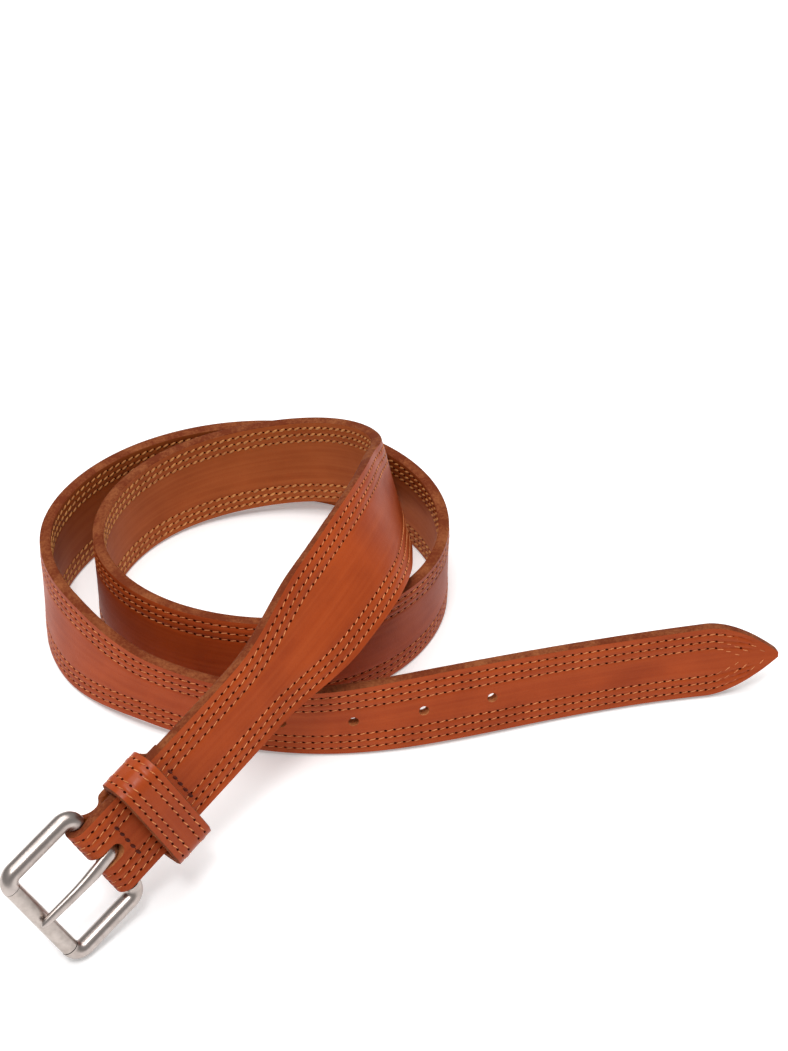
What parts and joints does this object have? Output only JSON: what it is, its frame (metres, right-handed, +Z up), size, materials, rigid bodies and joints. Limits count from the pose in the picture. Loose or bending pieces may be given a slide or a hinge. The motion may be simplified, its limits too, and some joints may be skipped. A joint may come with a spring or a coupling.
{
  "type": "leather belt",
  "caption": "Leather belt with a roller buckle, a keeper loop and a pointed tail, rolled up standing on its edge with the buckle end laid across the roll",
  "frame": {"origin": "On the surface the belt stands on, under the middle of its bounding box", "axes": "+Z up; +X towards the point of the tail; +Y from the front of the roll to its back"},
  "size_m": [0.2765, 0.2375, 0.0785],
  "materials": {
    "tan_leather": "satin, oiled",
    "face_thread": "waxed thread",
    "back_thread": "waxed thread",
    "dark_thread": "waxed thread",
    "steel_wire": "plain wire",
    "brushed_nickel": "antiqued nickel, brushed"
  },
  "bodies": {
    "strap": {"strap_leather": "tan_leather", "outer_row_needle_thread": "face_thread", "outer_row_bobbin_thread": "back_thread", "middle_row_needle_thread": "face_thread", "middle_row_bobbin_thread": "back_thread", "inner_row_needle_thread": "face_thread", "inner_row_bobbin_thread": "back_thread", "front_cross_stitch": "dark_thread", "rear_cross_stitch": "dark_thread"},
    "keeper": {"keeper_loop": "tan_leather", "keeper_needle_thread": "face_thread", "keeper_bobbin_thread": "back_thread", "keeper_staple": "steel_wire"},
    "buckle_frame": {"buckle_frame": "brushed_nickel"},
    "buckle_roller": {"buckle_roller": "brushed_nickel"},
    "buckle_prong": {"buckle_prong": "brushed_nickel"}
  },
  "joints": [
    {"name": "keeper_slide", "type": "slide", "parent": "strap", "child": "keeper", "axis": [0.6486, 0.6956, 0.309], "range_m": [-0.002, 0.0012]},
    {"name": "buckle_hinge", "type": "hinge", "parent": "strap", "child": "buckle_frame", "pos_m": [-0.09684, -0.09483, 0.02908], "axis": [-0.4798, 0.0584, 0.8755], "range_deg": [-155, 20]},
    {"name": "prong_hinge", "type": "hinge", "parent": "buckle_frame", "child": "buckle_prong", "pos_m": [-0.09684, -0.09483, 0.02908], "axis": [-0.4798, 0.0584, 0.8755], "range_deg": [0, 62]},
    {"name": "roller_spin", "type": "hinge", "parent": "buckle_frame", "child": "buckle_roller", "pos_m": [-0.1157, -0.11373, 0.02], "axis": [-0.4798, 0.0584, 0.8755], "continuous": true}
  ]
}
